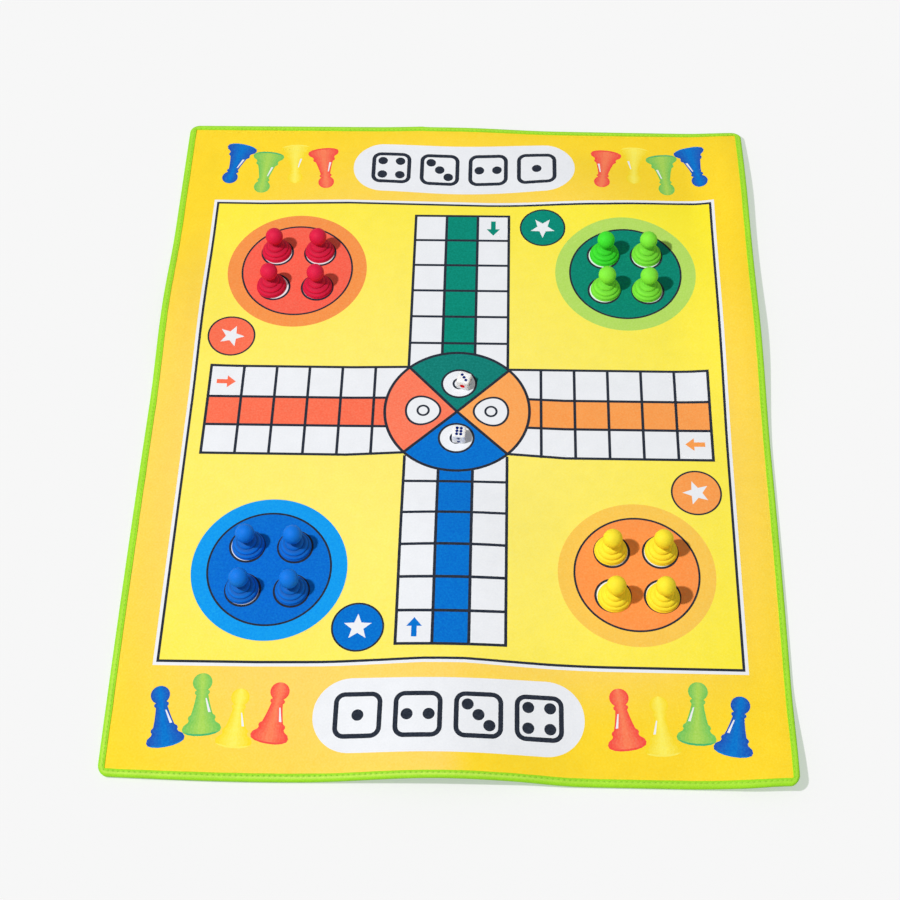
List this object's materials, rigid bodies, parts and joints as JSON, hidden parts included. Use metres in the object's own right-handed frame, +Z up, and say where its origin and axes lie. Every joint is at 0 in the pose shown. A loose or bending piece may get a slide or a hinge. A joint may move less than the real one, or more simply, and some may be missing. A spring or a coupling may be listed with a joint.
{
  "type": "ludo game mat",
  "caption": "Soft fabric floor mat printed with a cross-shaped race game board, its edges bound with tape, with loose stepped pawns and small dice standing on it.",
  "frame": {"origin": "middle of the mat's underside, on the surface that the mat lies on", "axes": "+X across the mat, +Y along its longer side away from the front edge, +Z up"},
  "size_m": [0.65, 0.8, 0.0399],
  "materials": {
    "printed_fabric": "printed brushed fabric",
    "backing": "padded felt with a non-slip coat",
    "binding_tape": "woven tape",
    "thread": "sewing thread",
    "pawn_red": "matte",
    "pawn_green": "matte",
    "pawn_deep_green": "matte",
    "pawn_blue": "matte",
    "pawn_yellow": "matte",
    "dice": "polished with painted pips"
  },
  "bodies": {
    "mat": {"mat_face": "printed_fabric", "mat_backing": "backing", "edge_binding": "binding_tape", "binding_thread": "thread"},
    "red_pawn_1": {"pawn_red_1": "pawn_red"},
    "red_pawn_2": {"pawn_red_2": "pawn_red"},
    "red_pawn_3": {"pawn_red_3": "pawn_red"},
    "red_pawn_4": {"pawn_red_4": "pawn_red"},
    "green_pawn_1": {"pawn_green_1": "pawn_deep_green"},
    "green_pawn_2": {"pawn_green_2": "pawn_green"},
    "green_pawn_3": {"pawn_green_3": "pawn_green"},
    "green_pawn_4": {"pawn_green_4": "pawn_green"},
    "blue_pawn_1": {"pawn_blue_1": "pawn_blue"},
    "blue_pawn_2": {"pawn_blue_2": "pawn_blue"},
    "blue_pawn_3": {"pawn_blue_3": "pawn_blue"},
    "blue_pawn_4": {"pawn_blue_4": "pawn_blue"},
    "yellow_pawn_1": {"pawn_yellow_1": "pawn_yellow"},
    "yellow_pawn_2": {"pawn_yellow_2": "pawn_yellow"},
    "yellow_pawn_3": {"pawn_yellow_3": "pawn_yellow"},
    "yellow_pawn_4": {"pawn_yellow_4": "pawn_yellow"},
    "first_die": {"die_1": "dice"},
    "second_die": {"die_2": "dice"}
  },
  "joints": [
    {"name": "red_pawn_1_lift", "type": "slide", "parent": "mat", "child": "red_pawn_1", "axis": [0, 0, 1], "range_m": [0, 0.08]},
    {"name": "red_pawn_2_lift", "type": "slide", "parent": "mat", "child": "red_pawn_2", "axis": [0, 0, 1], "range_m": [0, 0.08]},
    {"name": "red_pawn_3_lift", "type": "slide", "parent": "mat", "child": "red_pawn_3", "axis": [0, 0, 1], "range_m": [0, 0.08]},
    {"name": "red_pawn_4_lift", "type": "slide", "parent": "mat", "child": "red_pawn_4", "axis": [0, 0, 1], "range_m": [0, 0.08]},
    {"name": "green_pawn_1_lift", "type": "slide", "parent": "mat", "child": "green_pawn_1", "axis": [0, 0, 1], "range_m": [0, 0.08]},
    {"name": "green_pawn_2_lift", "type": "slide", "parent": "mat", "child": "green_pawn_2", "axis": [0, 0, 1], "range_m": [0, 0.08]},
    {"name": "green_pawn_3_lift", "type": "slide", "parent": "mat", "child": "green_pawn_3", "axis": [0, 0, 1], "range_m": [0, 0.08]},
    {"name": "green_pawn_4_lift", "type": "slide", "parent": "mat", "child": "green_pawn_4", "axis": [0, 0, 1], "range_m": [0, 0.08]},
    {"name": "blue_pawn_1_lift", "type": "slide", "parent": "mat", "child": "blue_pawn_1", "axis": [0, 0, 1], "range_m": [0, 0.08]},
    {"name": "blue_pawn_2_lift", "type": "slide", "parent": "mat", "child": "blue_pawn_2", "axis": [0, 0, 1], "range_m": [0, 0.08]},
    {"name": "blue_pawn_3_lift", "type": "slide", "parent": "mat", "child": "blue_pawn_3", "axis": [0, 0, 1], "range_m": [0, 0.08]},
    {"name": "blue_pawn_4_lift", "type": "slide", "parent": "mat", "child": "blue_pawn_4", "axis": [0, 0, 1], "range_m": [0, 0.08]},
    {"name": "yellow_pawn_1_lift", "type": "slide", "parent": "mat", "child": "yellow_pawn_1", "axis": [0, 0, 1], "range_m": [0, 0.08]},
    {"name": "yellow_pawn_2_lift", "type": "slide", "parent": "mat", "child": "yellow_pawn_2", "axis": [0, 0, 1], "range_m": [0, 0.08]},
    {"name": "yellow_pawn_3_lift", "type": "slide", "parent": "mat", "child": "yellow_pawn_3", "axis": [0, 0, 1], "range_m": [0, 0.08]},
    {"name": "yellow_pawn_4_lift", "type": "slide", "parent": "mat", "child": "yellow_pawn_4", "axis": [0, 0, 1], "range_m": [0, 0.08]},
    {"name": "first_die_lift", "type": "slide", "parent": "mat", "child": "first_die", "axis": [0, 0, 1], "range_m": [0, 0.15]},
    {"name": "second_die_lift", "type": "slide", "parent": "mat", "child": "second_die", "axis": [0, 0, 1], "range_m": [0, 0.15]}
  ]
}
